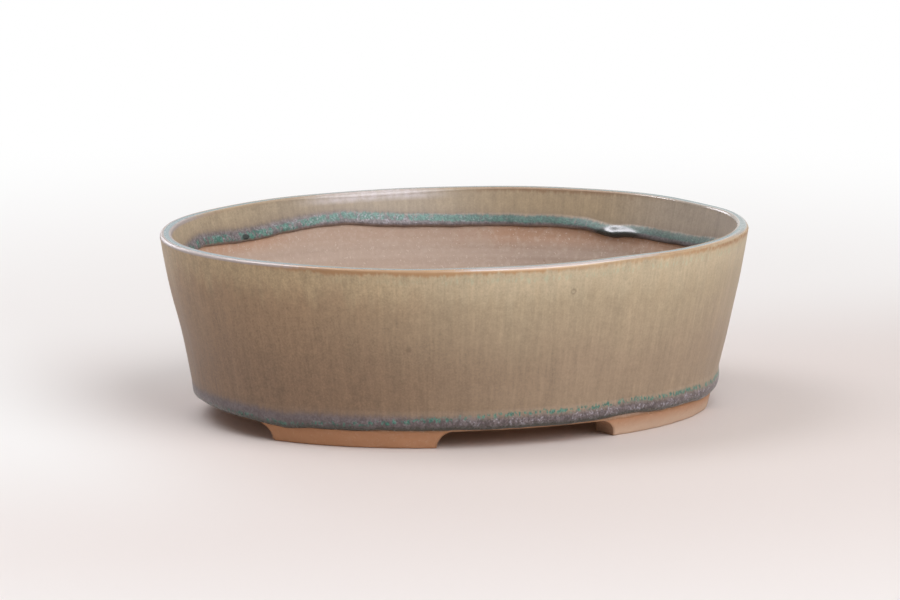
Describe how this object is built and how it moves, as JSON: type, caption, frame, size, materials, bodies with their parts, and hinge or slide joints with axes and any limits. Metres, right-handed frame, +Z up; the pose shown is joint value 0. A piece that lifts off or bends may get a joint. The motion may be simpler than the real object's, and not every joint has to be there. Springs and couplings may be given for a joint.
{
  "type": "oval bonsai pot",
  "caption": "Oval bonsai pot in olive-glazed stoneware with a tapering wall, flat rim, drained floor and coved bare clay feet; holds soil and a small tree.",
  "frame": {"origin": "on the table, under the middle of the oval, in the plane of the soles of the feet", "axes": "+X along the pot's length, +Y to the back, +Z up through the mouth"},
  "size_m": [0.3, 0.248, 0.0916],
  "materials": {
    "inside_clay": "bare fired stoneware with pale grog",
    "foot_clay": "bare fired stoneware, wiped smooth",
    "rim_glaze": "gloss, breaking rust at the edges",
    "olive_glaze": "satin, finely streaked",
    "roll_glaze": "gloss, speckled teal on grey-violet"
  },
  "bodies": {
    "root": {"floor_slab": "inside_clay", "wall_ring": "inside_clay", "corner_coil": "inside_clay", "foot_front_left": "foot_clay", "foot_front_right": "foot_clay", "foot_back_left": "foot_clay", "foot_back_right": "foot_clay", "rim_glaze": "rim_glaze", "outer_glaze": "olive_glaze", "base_glaze_roll": "roll_glaze", "inner_glaze": "olive_glaze", "inner_glaze_roll": "roll_glaze"}
  },
  "joints": []
}
